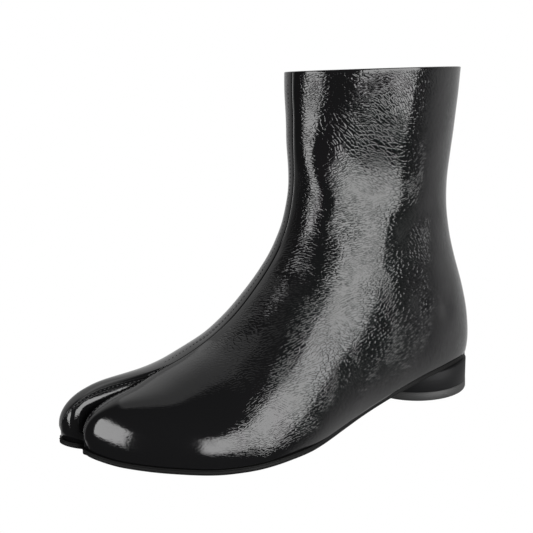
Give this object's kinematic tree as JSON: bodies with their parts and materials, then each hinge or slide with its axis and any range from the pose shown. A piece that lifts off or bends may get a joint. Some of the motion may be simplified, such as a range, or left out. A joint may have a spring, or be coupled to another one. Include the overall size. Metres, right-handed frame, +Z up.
{
  "type": "ankle boot",
  "caption": "Split-toe ankle boot for the left foot: hollow shaft with a front seam, thin outsole cut between the toes, and a low round heel.",
  "frame": {"origin": "on the floor under the middle of the round heel", "axes": "+X towards the toes, +Y to the outer side of the left foot, +Z up"},
  "size_m": [0.258, 0.0994, 0.1971],
  "materials": {
    "upper_leather": "black patent leather with a fine crinkle",
    "insole_leather": "matt black leather",
    "outsole_leather": "black painted leather",
    "heel_block": "black lacquered stacked leather",
    "top_piece_rubber": "satin black"
  },
  "bodies": {
    "root": {"upper": "upper_leather", "insole": "insole_leather", "outsole": "outsole_leather", "heel": "heel_block", "top_piece": "top_piece_rubber"}
  },
  "joints": []
}
